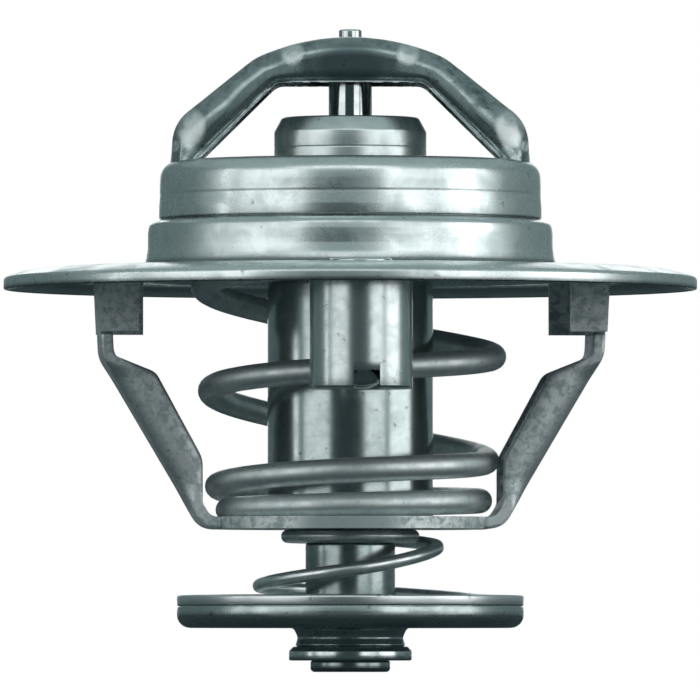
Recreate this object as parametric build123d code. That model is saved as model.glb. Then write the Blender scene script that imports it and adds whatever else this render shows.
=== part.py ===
from build123d import *

import os
from math import asin, atan2, cos, pi, radians, sin, sqrt, tan

# Engine coolant thermostat insert: a pressed flange with a stepped dome and a bridge, a wax
# element that hangs from the bridge by its piston, the main valve with its spring on a lower
# bracket, a sprung bypass disc on the element's stem, and a ball vent beside the element.
#
# Frame: millimetres, +Z up towards the bridge, origin on the axis at the lower edge of the
# flange rim. X runs along the bridge and Y from the front, where the vent hangs, to the back.
# The cold element holds the main valve shut. Warm wax drives the element down off its piston.

# ---- Fits ----
running_gap = 0.05
free_gap = 0.3
overcut = 1.0
edge_match = 0.1

# ---- Upper frame: flange, dome and bridge pressed from one sheet ----
frame_sheet = 1.2
rim_radius = 33.5
rim_drop = 0.88
rim_bands = 3
flat_width = 9.45
dome_radius = 19.55
dome_root_round = 1.0
root_bands = 2
dome_step_height = 3.9
dome_step_rise = 0.8
dome_step_width = 1.14
dome_height = 10.4
shoulder_round = 1.8
shoulder_bands = 3
mouth_lip_width = 3.8

bridge_height = 11.85
bridge_width = 12.0
bridge_foot_inset = 0.96
bridge_foot_lean = 0.45
bridge_elbow_height = 3.65
bridge_elbow_fillet = 4.0
crown_radius = 21.7
crown_half_length = 9.2
crown_end_fillet = 6.0
bridge_depth = 4.4
window_half_length = 7.05
window_fillet = 1.5
bridge_edge_round = 1.3
stake_radius = 8.0
stake_depth = 0.25

# ---- Piston ----
piston_radius = 2.1
piston_tenon_radius = 1.1
piston_tip_height = 0.9
piston_depth_in_element = 28.8
piston_taper_length = 6.0
piston_end_radius = 1.2

# ---- Lower bracket: one bent sheet, turned a little about the axis ----
bracket_sheet = 1.15
bracket_turn = 3.0
bracket_head_inset = 4.45
bracket_head_lean = 0.35
bracket_knee_drop = 7.3
bracket_corner_radius = 14.4
strap_depth = 23.93
strap_radius = 14.0
arm_width = 12.0
head_width = 17.0
head_length = 5.0
head_front_depth = 3.8
head_back_depth = 4.8
knee_fillet = 3.0
corner_fillet = 2.2
rib_top_drop = 7.0
rib_shoulder_radius = 19.0
rib_shoulder_drop = 8.9
rib_shoulder_fillet = 1.4
rib_waist_radius = 14.5
rib_waist_drop = 17.2
rib_waist_fillet = 2.5
rib_foot_height = 1.3
rib_tip_height = 0.38
rib_edge_round = 0.9

# ---- Wax element ----
cup_radius = 8.0
cup_wall = 0.8
cup_floor = 3.0
cup_neck_radius = 5.3
cup_neck_height = 1.3
cup_neck_overhang = 1.35
crimp_radius = 9.6
crimp_wall = 0.7
crimp_height = 3.6
crimp_lip = 0.5
crimp_floor = 0.6
boss_radius = 7.35
boss_bevel_width = 0.75
boss_bevel_height = 1.42
boss_height = 4.23
sleeve_flange = 0.8
sleeve_radius = 4.2
sleeve_floor = 2.0
backup_washer_radius = 3.35
backup_washer_height = 1.1
wiper_radius = 3.35
wiper_height = 1.1
wiper_depth = 2.5

# ---- Main valve ----
valve_sheet = 1.0
valve_side_gap = 0.86
valve_ledge_width = 3.7
valve_dish_depth = 3.4
valve_seal_height = 1.2
valve_seal_width = 1.9

# ---- Main spring ----
main_wire_radius = 1.2
main_turns = 4.75
main_bottom_radius = 12.2
main_top_gap = 0.4
main_cone_turns = 3.0
main_end_pitch = 2.0
main_closed_turns = 0.75
main_ramp_turns = 0.75
main_end_offset = 0.65
main_start_angle = 194.0
main_lean_side = 0.85
main_lean_front = 0.2
runs_per_turn = 20
wire_sides = 10

# ---- Bypass valve on the element's stem ----
stem_radius = 4.33
stem_length = 10.0
stem_spigot_radius = 3.0
stem_spigot_length = 2.0
bypass_radius = 16.77
bypass_sheet = 1.0
bypass_depth = 3.2
bypass_corner_round = 1.9
bypass_bands = 2
bypass_lip_width = 0.35
bypass_lip_height = 0.7
bypass_hub_radius = 5.5
bypass_hub_waist = 5.07
bypass_hub_lip = 5.35
bypass_hub_height = 1.8
keeper_radius = 5.95
keeper_height = 1.35
keeper_bevel = 0.4
rivet_radius = 3.85
rivet_height = 1.1

bypass_wire_radius = 0.65
bypass_neck_gap = 0.1
bypass_wall_gap = 0.52
bypass_side_turn = 0.1
# Each station is the turn counted from the upper end, then how far the coil has grown from its
# upper radius to its lower one, and how far it has dropped to its lower seat, both as shares.
bypass_stations = (
    (0.0, 0.0, 0.0),
    (0.6, 0.0, 0.0),
    (0.85, 0.064, 0.014),
    (1.1, 0.275, 0.139),
    (1.35, 0.31, 0.451),
    (1.6, 0.322, 0.66),
    (1.85, 0.556, 0.73),
    (2.1, 0.86, 0.88),
    (2.35, 0.977, 0.965),
    (2.6, 1.0, 1.0),
    (3.0, 1.0, 1.0),
)

# ---- Ball vent ----
vent_x = 1.03
vent_from_dome = 4.25
vent_radius = 4.88
vent_wall = 0.8
vent_length = 10.88
vent_lip_radius = 2.1
vent_neck_radius = 2.4
vent_bore_radius = 1.5
vent_head_radius = 3.0
vent_head_height = 0.35
vent_notch_width = 2.5
vent_notch_height = 1.75
vent_notch_offset = 0.55
vent_ball_radius = 2.7
vent_ball_gap = 0.1

# ---- Radii and places that follow from the sizes ----
flat_radius = dome_radius + flat_width
neck_radius = dome_radius - dome_step_width
mouth_radius = neck_radius - mouth_lip_width
bridge_foot_radius = neck_radius - bridge_foot_inset
bracket_head_radius = flat_radius - bracket_head_inset
bracket_knee_radius = bracket_head_radius - bracket_head_lean
valve_radius = neck_radius - frame_sheet - valve_side_gap
valve_ledge_radius = valve_radius - valve_ledge_width
main_top_radius = valve_ledge_radius + main_top_gap + main_wire_radius
bypass_upper_radius = cup_neck_radius + bypass_neck_gap + bypass_wire_radius
bypass_lower_radius = bypass_radius - bypass_sheet - bypass_wall_gap - bypass_wire_radius
piston_bore_radius = piston_radius + running_gap
vent_y = -dome_radius - vent_from_dome

# ---- Heights that follow from the sizes ----
flange_under_z = rim_drop
flange_top_z = flange_under_z + frame_sheet
dome_step_z = flange_top_z + dome_step_height
dome_top_z = flange_top_z + dome_height
seat_z = dome_top_z - frame_sheet
bridge_top_z = dome_top_z + bridge_height
window_top_z = bridge_top_z - bridge_depth
strap_bottom_z = flange_under_z - strap_depth
strap_top_z = strap_bottom_z + bracket_sheet
valve_top_z = seat_z - valve_seal_height
valve_under_z = valve_top_z - valve_sheet
valve_hub_z = valve_under_z - valve_dish_depth
crimp_z = valve_hub_z + valve_sheet
crimp_floor_z = crimp_z + crimp_floor
crimp_top_z = crimp_z + crimp_height
guide_z = crimp_floor_z + sleeve_flange
boss_top_z = dome_top_z + boss_height
neck_bottom_z = strap_bottom_z - cup_neck_overhang
neck_top_z = neck_bottom_z + cup_neck_height
wax_floor_z = neck_bottom_z + cup_floor
stem_shoulder_z = neck_bottom_z - stem_length
bypass_under_z = stem_shoulder_z + bypass_hub_height
bypass_floor_z = bypass_under_z + bypass_sheet
keeper_under_z = stem_shoulder_z - keeper_height
piston_end_z = boss_top_z - piston_depth_in_element
vent_bottom_z = flange_under_z - vent_length


def turned(*points):
    """A solid turned about the Z axis from a half section given as (radius, height)."""
    section = make_face(Polyline(*points, close=True))
    return revolve(Plane.XZ * section)


def rounded(before, corner, after, radius, bands):
    """Points along a rounded corner, as even chords of the arc between its tangent points."""
    corner_point = Vector(*corner)
    to_before = (Vector(*before) - corner_point).normalized()
    to_after = (Vector(*after) - corner_point).normalized()
    half_angle = radians(to_before.get_angle(to_after)) / 2
    centre = corner_point + (to_before + to_after).normalized() * (radius / sin(half_angle))
    start = corner_point + to_before * (radius / tan(half_angle)) - centre
    finish = corner_point + to_after * (radius / tan(half_angle)) - centre
    sweep_angle = pi - 2 * half_angle
    points = []
    for step in range(bands + 1):
        angle = sweep_angle * step / bands
        offset_point = start * (sin(sweep_angle - angle) / sin(sweep_angle))
        offset_point += finish * (sin(angle) / sin(sweep_angle))
        points.append((centre.X + offset_point.X, centre.Y + offset_point.Y))
    return points


def tube(outer_radius, inner_radius, low_z, high_z):
    return turned(
        (inner_radius, low_z), (outer_radius, low_z), (outer_radius, high_z), (inner_radius, high_z)
    )


def rod(radius, low_z, high_z, x=0.0, y=0.0):
    height = high_z - low_z
    return Pos(x, y, low_z) * extrude(Circle(radius), amount=height)


def block(x_range, y_range, z_range):
    size = [high - low for low, high in (x_range, y_range, z_range)]
    middle = [(low + high) / 2 for low, high in (x_range, y_range, z_range)]
    return Pos(*middle) * Box(*size)


def slab(profile, width):
    """A face drawn as (x, z), made into a plate of this width that straddles the XZ plane."""
    return extrude(Plane.XZ * profile, amount=width / 2, both=True)


def mirrored_x(shape):
    return shape + mirror(shape, about=Plane.YZ)


def flange_curve(flat_z):
    """Points down the curve from the flat of the flange to its rim."""
    width = rim_radius - flat_radius
    curve_radius = (width**2 + rim_drop**2) / (2 * rim_drop)
    points = []
    for step in range(rim_bands + 1):
        reach = width * step / rim_bands
        drop = curve_radius - sqrt(curve_radius**2 - reach**2)
        points.append((flat_radius + reach, flat_z - drop))
    return points


def upper_frame():
    """The flange, the stepped dome and the bridge, pressed from one sheet."""
    step_slant = atan2(dome_radius - neck_radius, dome_step_rise)
    step_shift = frame_sheet * tan(step_slant / 2)
    step_top_z = dome_step_z + dome_step_rise
    outer = [
        (mouth_radius, dome_top_z),
        *rounded(
            (mouth_radius, dome_top_z),
            (neck_radius, dome_top_z),
            (neck_radius, step_top_z),
            shoulder_round,
            shoulder_bands,
        ),
        (neck_radius, step_top_z),
        (dome_radius, dome_step_z),
        *rounded(
            (dome_radius, dome_step_z),
            (dome_radius, flange_top_z),
            (flat_radius, flange_top_z),
            dome_root_round,
            root_bands,
        ),
        *flange_curve(flange_top_z),
    ]
    inner_neck = neck_radius - frame_sheet
    inner_dome = dome_radius - frame_sheet
    inner = [
        (mouth_radius, seat_z),
        (inner_neck, seat_z),
        (inner_neck, step_top_z - step_shift),
        (inner_dome, dome_step_z - step_shift),
        *rounded(
            (inner_dome, dome_step_z - step_shift),
            (inner_dome, flange_under_z),
            (flat_radius, flange_under_z),
            dome_root_round + frame_sheet,
            root_bands,
        ),
        *flange_curve(flange_under_z),
    ]
    frame = turned(*outer, *reversed(inner)) + bridge()
    vent_hole = rod(
        vent_neck_radius, flange_under_z - overcut, flange_top_z + overcut, vent_x, vent_y
    )
    return frame - vent_hole


def bridge_line(inset):
    """Half of the bridge's outer line in (x, z), moved in by this much of the sheet."""
    arc_radius = crown_radius - inset
    arc_angle = asin(crown_half_length / crown_radius)
    arc_end = (
        arc_radius * sin(arc_angle),
        bridge_top_z - crown_radius + arc_radius * cos(arc_angle),
    )
    elbow = (
        bridge_foot_radius - bridge_foot_lean - inset,
        dome_top_z + bridge_elbow_height - inset / 2,
    )
    foot = (bridge_foot_radius - inset, seat_z)
    crown = ThreePointArc(
        (0, bridge_top_z - inset),
        (
            arc_radius * sin(arc_angle / 2),
            bridge_top_z - crown_radius + arc_radius * cos(arc_angle / 2),
        ),
        arc_end,
    )
    leg = FilletPolyline(arc_end, elbow, foot, radius=bridge_elbow_fillet - inset)
    return crown, leg, arc_end


def softened(face, corner, radius):
    """A flat face with its corner at this (x, z) rounded."""
    return fillet(face.vertices().sort_by_distance(corner)[0], radius)


def bridge():
    """An inverted channel over the mouth of the dome, with the piston staked in its crown."""
    crown, leg, crown_end = bridge_line(0)
    window_edge = FilletPolyline(
        (mouth_radius, seat_z),
        (mouth_radius, dome_top_z),
        (window_half_length, window_top_z),
        (0, window_top_z),
        radius=(0, window_fillet),
    )
    half = make_face(
        Curve()
        + [
            crown,
            leg,
            Line((bridge_foot_radius, seat_z), (mouth_radius, seat_z)),
            window_edge,
            Line((0, window_top_z), (0, bridge_top_z)),
        ]
    )
    half = softened(half, crown_end, crown_end_fillet)
    solid = slab(half + mirror(half, about=Plane.YZ), bridge_width)
    outer_line = mirrored_x(Plane.XZ * (Curve() + [crown, leg]))
    crown_edges = [
        edge
        for edge in solid.edges()
        if outer_line.distance_to(Vector((edge @ 0.5).X, 0, (edge @ 0.5).Z)) < edge_match
        and abs(abs((edge @ 0.5).Y) - bridge_width / 2) < edge_match
    ]
    solid = fillet(crown_edges, bridge_edge_round)
    solid &= rod(bridge_foot_radius, seat_z, bridge_top_z + overcut)

    inner_crown, inner_leg, inner_end = bridge_line(frame_sheet)
    inner_foot = bridge_foot_radius - frame_sheet
    inner_half = make_face(
        Curve()
        + [
            inner_crown,
            inner_leg,
            Line((inner_foot, seat_z), (0, seat_z)),
            Line((0, seat_z), (0, bridge_top_z - frame_sheet)),
        ]
    )
    inner_half = softened(inner_half, inner_end, crown_end_fillet - frame_sheet)
    hollow = slab(inner_half + mirror(inner_half, about=Plane.YZ), bridge_width - 2 * frame_sheet)
    hollow &= rod(inner_foot, seat_z, bridge_top_z)

    stake_y = bridge_width / 2 + stake_radius - stake_depth
    for side in (-1, 1):
        hollow -= rod(stake_radius + frame_sheet, window_top_z, bridge_top_z, 0, side * stake_y)
    solid -= hollow
    for side in (-1, 1):
        groove_low_z = window_top_z - overcut
        solid -= rod(stake_radius, groove_low_z, bridge_top_z + overcut, 0, side * stake_y)
    solid -= rod(piston_tenon_radius, window_top_z, bridge_top_z + overcut)
    return solid


def piston_shoulder_z():
    """Where the piston's shoulder meets the curved underside of the crown."""
    under_radius = crown_radius - frame_sheet
    return bridge_top_z - crown_radius + sqrt(under_radius**2 - piston_radius**2)


def piston():
    """The ground pin: riveted through the crown at the top, tapered inside the sleeve."""
    return turned(
        (0, piston_end_z),
        (piston_end_radius, piston_end_z),
        (piston_radius, piston_end_z + piston_taper_length),
        (piston_radius, piston_shoulder_z()),
        (piston_tenon_radius, piston_shoulder_z()),
        (piston_tenon_radius, bridge_top_z + piston_tip_height),
        (0, bridge_top_z + piston_tip_height),
    )


def lower_bracket():
    """A round strap with two ribbed arms that end in channel-shaped heads on the flange."""
    knee_z = flange_under_z - bracket_knee_drop
    arm_slope = (bracket_knee_radius - bracket_corner_radius) / (knee_z - strap_bottom_z)
    middle_of_web = bracket_sheet / 2

    def on_web(height):
        return bracket_corner_radius + (height - strap_bottom_z) * arm_slope - middle_of_web

    outer_line = FilletPolyline(
        (bracket_head_radius, flange_under_z),
        (bracket_knee_radius, knee_z),
        (bracket_corner_radius, strap_bottom_z),
        (0, strap_bottom_z),
        radius=(knee_fillet, corner_fillet),
    )
    web = make_face(offset(outer_line, amount=bracket_sheet, side=Side.RIGHT, closed=True))
    rib_top_z = flange_under_z - rib_top_drop
    rib_tip_z = strap_top_z + rib_tip_height
    rib_line = FilletPolyline(
        (on_web(rib_top_z), rib_top_z),
        (rib_shoulder_radius, flange_under_z - rib_shoulder_drop),
        (rib_waist_radius, flange_under_z - rib_waist_drop),
        (rib_waist_radius, strap_top_z + rib_foot_height),
        (on_web(rib_tip_z), rib_tip_z),
        radius=(rib_shoulder_fillet, rib_waist_fillet, 0),
    )
    rib_root = Line((on_web(rib_tip_z), rib_tip_z), (on_web(rib_top_z), rib_top_z))
    rib = make_face(Curve() + [rib_line, rib_root])

    arm = slab(web + rib, arm_width)
    placed_line = Plane.XZ * outer_line
    rolled_edges = [
        edge
        for edge in arm.edges()
        if placed_line.distance_to(Vector((edge @ 0.5).X, 0, (edge @ 0.5).Z)) < edge_match
        and abs(abs((edge @ 0.5).Y) - arm_width / 2) < edge_match
        and strap_top_z < (edge @ 0.5).Z < rib_top_z
    ]
    arm = fillet(rolled_edges, rib_edge_round)
    arm -= slab(rib - web, arm_width - 2 * bracket_sheet)

    head_low_z = flange_under_z - head_length
    head_x = (bracket_head_radius - head_front_depth, bracket_head_radius + overcut)
    head_band = block(head_x, (-head_width, head_width), (head_low_z, flange_under_z))
    head = slab(web, head_width) & head_band
    for side, depth in ((-1, head_front_depth), (1, head_back_depth)):
        cheek_y = sorted((side * head_width / 2, side * (head_width / 2 - bracket_sheet)))
        cheek_x = (bracket_head_radius - depth, bracket_knee_radius - middle_of_web)
        head += block(cheek_x, cheek_y, (head_low_z, flange_under_z))

    bracket = mirrored_x(arm + head) + rod(strap_radius, strap_bottom_z, strap_top_z)
    bracket &= rod(rim_radius, strap_bottom_z, flange_under_z)
    bracket -= rod(cup_radius + free_gap, strap_bottom_z - overcut, strap_top_z + overcut)
    return Rot(0, 0, bracket_turn) * bracket


def wax_cup():
    """The turned cup: a crimped rim above, a neck for the bypass spring's end coil below."""
    inner_radius = cup_radius - cup_wall
    recess_radius = crimp_radius - crimp_wall
    lip_z = crimp_top_z - crimp_lip
    return turned(
        (inner_radius, wax_floor_z),
        (inner_radius, crimp_floor_z),
        (recess_radius, crimp_floor_z),
        (recess_radius, lip_z),
        (boss_radius, lip_z),
        (boss_radius, crimp_top_z),
        (crimp_radius, crimp_top_z),
        (crimp_radius, crimp_z),
        (cup_radius, crimp_z),
        (cup_radius, neck_top_z),
        (cup_neck_radius, neck_top_z),
        (cup_neck_radius, neck_bottom_z),
        (stem_spigot_radius, neck_bottom_z),
        (stem_spigot_radius, neck_bottom_z + stem_spigot_length),
        (0, neck_bottom_z + stem_spigot_length),
        (0, wax_floor_z),
    )


def element_guide():
    """The boss that guides the piston; its flange is held under the crimp."""
    recess_radius = crimp_radius - crimp_wall
    wiper_top_z = boss_top_z - wiper_depth
    return turned(
        (piston_bore_radius, guide_z + backup_washer_height),
        (backup_washer_radius, guide_z + backup_washer_height),
        (backup_washer_radius, guide_z),
        (recess_radius, guide_z),
        (recess_radius, crimp_top_z - crimp_lip),
        (boss_radius, crimp_top_z - crimp_lip),
        (boss_radius, boss_top_z - boss_bevel_height),
        (boss_radius - boss_bevel_width, boss_top_z),
        (piston_bore_radius, boss_top_z),
        (piston_bore_radius, wiper_top_z),
        (wiper_radius, wiper_top_z),
        (wiper_radius, wiper_top_z - wiper_height),
        (piston_bore_radius, wiper_top_z - wiper_height),
    )


def piston_wiper():
    top_z = boss_top_z - wiper_depth
    return tube(wiper_radius, piston_bore_radius, top_z - wiper_height, top_z)


def backup_washer():
    return tube(
        backup_washer_radius, piston_bore_radius, guide_z, guide_z + backup_washer_height
    )


def rubber_sleeve():
    """The sleeve that the wax squeezes against the piston, clamped at its flange."""
    bore_floor_z = piston_end_z - free_gap
    return turned(
        (0, bore_floor_z - sleeve_floor),
        (sleeve_radius, bore_floor_z - sleeve_floor),
        (sleeve_radius, crimp_floor_z),
        (crimp_radius - crimp_wall, crimp_floor_z),
        (crimp_radius - crimp_wall, guide_z),
        (piston_bore_radius, guide_z),
        (piston_bore_radius, bore_floor_z),
        (0, bore_floor_z),
    )


def wax_charge():
    """The wax that fills the cup around the sleeve."""
    inner_radius = cup_radius - cup_wall
    sleeve_bottom_z = piston_end_z - free_gap - sleeve_floor
    return turned(
        (0, wax_floor_z),
        (inner_radius, wax_floor_z),
        (inner_radius, crimp_floor_z),
        (sleeve_radius, crimp_floor_z),
        (sleeve_radius, sleeve_bottom_z),
        (0, sleeve_bottom_z),
    )


def main_valve():
    """The dished disc: its hub bears on the cup's crimp and its ledge on the main spring."""
    hole_radius = cup_radius + running_gap
    return turned(
        (hole_radius, valve_hub_z),
        (valve_ledge_radius, valve_hub_z),
        (valve_ledge_radius, valve_under_z),
        (valve_radius, valve_under_z),
        (valve_radius, valve_top_z),
        (valve_ledge_radius - valve_sheet, valve_top_z),
        (valve_ledge_radius - valve_sheet, crimp_z),
        (hole_radius, crimp_z),
    )


def valve_seal():
    """The rubber ring on the disc, pressed against the underside of the dome's mouth."""
    return tube(valve_radius, valve_radius - valve_seal_width, valve_top_z, seat_z)


def coil(points, wire_radius):
    """A wire of even runs along these points, mitred where they meet."""
    path = Polyline(*points)
    section = Plane(origin=path @ 0, z_dir=path % 0) * RegularPolygon(wire_radius, wire_sides)
    return sweep(section, path=path, transition=Transition.RIGHT)


def blend(share):
    limited = min(max(share, 0), 1)
    return limited * limited * (3 - 2 * limited)


def main_spring():
    """A slightly conical right-hand spring with closed, ground ends."""
    end_turns = main_closed_turns + main_ramp_turns
    low_z = strap_top_z + main_end_offset
    high_z = valve_under_z - main_end_offset
    closed_rise = 2 * main_closed_turns * main_end_pitch + main_ramp_turns * main_end_pitch
    free_pitch = (high_z - low_z - closed_rise) / (main_ramp_turns + main_turns - 2 * end_turns)

    def rise_from_end(turn):
        ramp = min(max(turn - main_closed_turns, 0), main_ramp_turns)
        past = max(turn - end_turns, 0)
        ramp_rise = (free_pitch - main_end_pitch) * ramp**2 / (2 * main_ramp_turns)
        return main_end_pitch * (turn - past) + ramp_rise + free_pitch * past

    def point(turn):
        angle = radians(main_start_angle) + 2 * pi * turn
        radius = main_bottom_radius + (main_top_radius - main_bottom_radius) * min(
            turn / main_cone_turns, 1
        )
        if turn < main_turns / 2:
            height = low_z + rise_from_end(turn)
        else:
            height = high_z - rise_from_end(main_turns - turn)
        freedom = blend((turn - main_closed_turns) / main_ramp_turns)
        freedom *= blend((main_turns - turn - main_closed_turns) / main_ramp_turns)
        lean = main_lean_side * cos(angle) + main_lean_front * sin(angle)
        return (radius * cos(angle), radius * sin(angle), height - lean * freedom)

    runs = round(main_turns * runs_per_turn)
    wire = coil([point(main_turns * step / runs) for step in range(runs + 1)], main_wire_radius)
    reach = main_top_radius + 2 * main_wire_radius
    return wire & rod(reach, strap_top_z, valve_under_z)


def bypass_stem():
    """The stem below the cup: a spigot pressed into the cup, a riveted end under the keeper."""
    return turned(
        (0, neck_bottom_z + stem_spigot_length),
        (stem_spigot_radius, neck_bottom_z + stem_spigot_length),
        (stem_spigot_radius, neck_bottom_z),
        (stem_radius, neck_bottom_z),
        (stem_radius, stem_shoulder_z),
        (stem_spigot_radius, stem_shoulder_z),
        (stem_spigot_radius, keeper_under_z),
        (rivet_radius, keeper_under_z),
        (rivet_radius, keeper_under_z - rivet_height),
        (0, keeper_under_z - rivet_height),
    )


def bypass_keeper():
    """The washer riveted on the stem's end, which stops the bypass disc."""
    return turned(
        (stem_spigot_radius, keeper_under_z),
        (keeper_radius, keeper_under_z),
        (keeper_radius, stem_shoulder_z - keeper_bevel),
        (keeper_radius - keeper_bevel, stem_shoulder_z),
        (stem_spigot_radius, stem_shoulder_z),
    )


def bypass_disc():
    """A dish, open upwards, that slides on the stem on a collar drawn from its middle."""
    bore_radius = stem_radius + running_gap
    lip_top_z = bypass_under_z + bypass_depth
    return turned(
        (bore_radius, stem_shoulder_z),
        (bypass_hub_lip, stem_shoulder_z),
        (bypass_hub_waist, stem_shoulder_z + bypass_hub_height / 2),
        (bypass_hub_radius, bypass_under_z),
        *rounded(
            (bypass_hub_radius, bypass_under_z),
            (bypass_radius, bypass_under_z),
            (bypass_radius, lip_top_z),
            bypass_corner_round,
            bypass_bands,
        ),
        (bypass_radius, lip_top_z - bypass_lip_height),
        (bypass_radius - bypass_lip_width, lip_top_z),
        (bypass_radius - bypass_sheet, lip_top_z),
        (bypass_radius - bypass_sheet, bypass_floor_z),
        (bore_radius, bypass_floor_z),
    )


def station_rate(index, column):
    """How fast a share changes at a station, without passing its neighbours' values."""
    if index in (0, len(bypass_stations) - 1):
        return 0
    before, here, after = bypass_stations[index - 1 : index + 2]
    rate_before = (here[column] - before[column]) / (here[0] - before[0])
    rate_after = (after[column] - here[column]) / (after[0] - here[0])
    if rate_before * rate_after <= 0:
        return 0
    return 2 * rate_before * rate_after / (rate_before + rate_after)


def station_share(turn, column):
    """A share at this turn, on a smooth curve through the stations."""
    later = next(index for index, station in enumerate(bypass_stations) if turn <= station[0])
    later = max(later, 1)
    start, end = bypass_stations[later - 1], bypass_stations[later]
    length = end[0] - start[0]
    along = (turn - start[0]) / length
    eased = along * along * (3 - 2 * along)
    share = start[column] + (end[column] - start[column]) * eased
    share += station_rate(later - 1, column) * length * along * (1 - along) ** 2
    share -= station_rate(later, column) * length * along**2 * (1 - along)
    return share


def bypass_spring():
    """A conical spring from under the cup down to the floor of the bypass disc."""
    high_z = neck_top_z - bypass_wire_radius
    low_z = bypass_floor_z + bypass_wire_radius
    growth = bypass_lower_radius - bypass_upper_radius
    turns = bypass_stations[-1][0]
    runs = round(turns * runs_per_turn)
    points = []
    for step in range(runs + 1):
        turn = turns * (step / runs)
        angle = 2 * pi * (bypass_side_turn - turn)
        radius = bypass_upper_radius + growth * station_share(turn, 1)
        height = high_z + (low_z - high_z) * station_share(turn, 2)
        points.append((radius * cos(angle), radius * sin(angle), height))
    return coil(points, bypass_wire_radius)


def vent_cage():
    """The vent's cage: riveted over the flange, notched at its foot, with a lip for the ball."""
    lip_top_z = vent_bottom_z + vent_wall
    roof_z = flange_under_z - vent_wall
    cage = turned(
        (vent_lip_radius, vent_bottom_z),
        (vent_radius, vent_bottom_z),
        (vent_radius, flange_under_z),
        (vent_neck_radius, flange_under_z),
        (vent_neck_radius, flange_top_z),
        (vent_head_radius, flange_top_z),
        (vent_head_radius, flange_top_z + vent_head_height),
        (vent_bore_radius, flange_top_z + vent_head_height),
        (vent_bore_radius, roof_z),
        (vent_radius - vent_wall, roof_z),
        (vent_radius - vent_wall, lip_top_z),
        (vent_lip_radius, lip_top_z),
    )
    notch = block(
        (vent_notch_offset - vent_notch_width / 2, vent_notch_offset + vent_notch_width / 2),
        (-vent_radius - overcut, -vent_lip_radius / 2),
        (vent_bottom_z - overcut, vent_bottom_z + vent_notch_height),
    )
    return Pos(vent_x, vent_y, 0) * (cage - notch)


def vent_ball():
    """The ball that rises to close the vent's bore once air has passed."""
    perch = sqrt(vent_ball_radius**2 - vent_lip_radius**2)
    centre_z = vent_bottom_z + vent_wall + perch + vent_ball_gap
    return Pos(vent_x, vent_y, centre_z) * Sphere(vent_ball_radius)


pieces = {
    "upper_frame": upper_frame,
    "piston": piston,
    "lower_bracket": lower_bracket,
    "wax_cup": wax_cup,
    "element_guide": element_guide,
    "piston_wiper": piston_wiper,
    "backup_washer": backup_washer,
    "rubber_sleeve": rubber_sleeve,
    "wax_charge": wax_charge,
    "main_valve": main_valve,
    "valve_seal": valve_seal,
    "main_spring": main_spring,
    "bypass_stem": bypass_stem,
    "bypass_keeper": bypass_keeper,
    "bypass_disc": bypass_disc,
    "bypass_spring": bypass_spring,
    "vent_cage": vent_cage,
    "vent_ball": vent_ball,
}

os.makedirs("parts", exist_ok=True)
for name, make in pieces.items():
    export_step(Part(make().wrapped), f"parts/{name}.step")
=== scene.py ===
import bmesh
import bpy
import math
from mathutils import Matrix, Vector, geometry


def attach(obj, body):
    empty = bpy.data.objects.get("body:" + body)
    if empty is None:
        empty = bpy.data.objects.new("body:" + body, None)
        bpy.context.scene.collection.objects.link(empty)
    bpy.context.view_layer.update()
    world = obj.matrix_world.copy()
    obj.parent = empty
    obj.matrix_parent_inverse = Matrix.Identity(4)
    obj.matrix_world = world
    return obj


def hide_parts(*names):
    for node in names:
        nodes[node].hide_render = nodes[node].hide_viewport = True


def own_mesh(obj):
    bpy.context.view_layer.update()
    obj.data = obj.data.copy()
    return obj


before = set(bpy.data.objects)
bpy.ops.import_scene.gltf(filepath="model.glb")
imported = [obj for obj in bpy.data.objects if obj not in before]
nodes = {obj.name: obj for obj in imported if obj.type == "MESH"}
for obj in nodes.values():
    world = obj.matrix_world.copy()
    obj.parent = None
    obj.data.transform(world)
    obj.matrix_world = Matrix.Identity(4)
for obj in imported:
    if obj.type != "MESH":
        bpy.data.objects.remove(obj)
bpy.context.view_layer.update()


# ---------------------------------------------------------------- measures, in mm

MM = 0.001
VALVE_LIFT, BYPASS_SLIDE = 8.0, 4.0

# upper frame: its sheet, then radii from the rim inwards, then heights
SHEET = 1.2
RIM, FLAT, DOME, NECK, FOOT, MOUTH = 33.5, 29.0, 19.55, 18.41, 17.45, 14.61
UNDER, TOP, STEP, STEP_TOP, DOME_TOP = 0.88, 2.08, 5.98, 6.78, 12.48
LEDGE = DOME_TOP - SHEET
BRIDGE_TOP, WINDOW_TOP, WINDOW_HALF = 24.33, 19.93, 7.05
CHANNEL_HALF = 6.0
VENT_AXIS, VENT_HOLE = (1.03, -23.8), 2.4

# lower bracket: (out, up) places along its outer side, then where its arms begin and end
BRACKET_TURN, BRACKET_SHEET = math.radians(3.0), 1.15
HEAD, KNEE, CORNER = (24.55, UNDER), (24.2, -6.42), (14.4, -23.05)
ARM_TOP, ARM_FOOT = -4.25, 12.65
STRAP_TOP = -21.9

# element: heights that two pieces share, from the stem's foot upwards, then radii
STEM_FOOT, KEEPER_UNDER, KEEPER_TOP = -36.85, -35.75, -34.4
CUP_FOOT, STEM_TOP = -24.4, -22.4
VALVE_UNDER, BOSS_UNDER, BOSS_TOP = 9.08, 8.08, 9.78
PISTON_SHOULDER = 23.02
TENON, GUIDE, BOSS, PISTON_BORE, WIPER = 3.0, 7.35, 8.9, 2.15, 3.35

# a spring's wire stops this short of what it rests on
REST_CLEARANCE = 0.02

# an arc has points at least this often, by angle and by length, and so has a straight run
ARC_TURN, ARC_RUN, LONGEST_RUN = math.radians(15), 0.35, 1.2


# ---------------------------------------------------------------- mesh tools

def new_object(name, bm):
    """Makes the bmesh into an object of the scene."""
    mesh = bpy.data.meshes.new(name)
    bm.to_mesh(mesh)
    bm.free()
    made = bpy.data.objects.new(name, mesh)
    bpy.context.scene.collection.objects.link(made)
    return made


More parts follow.
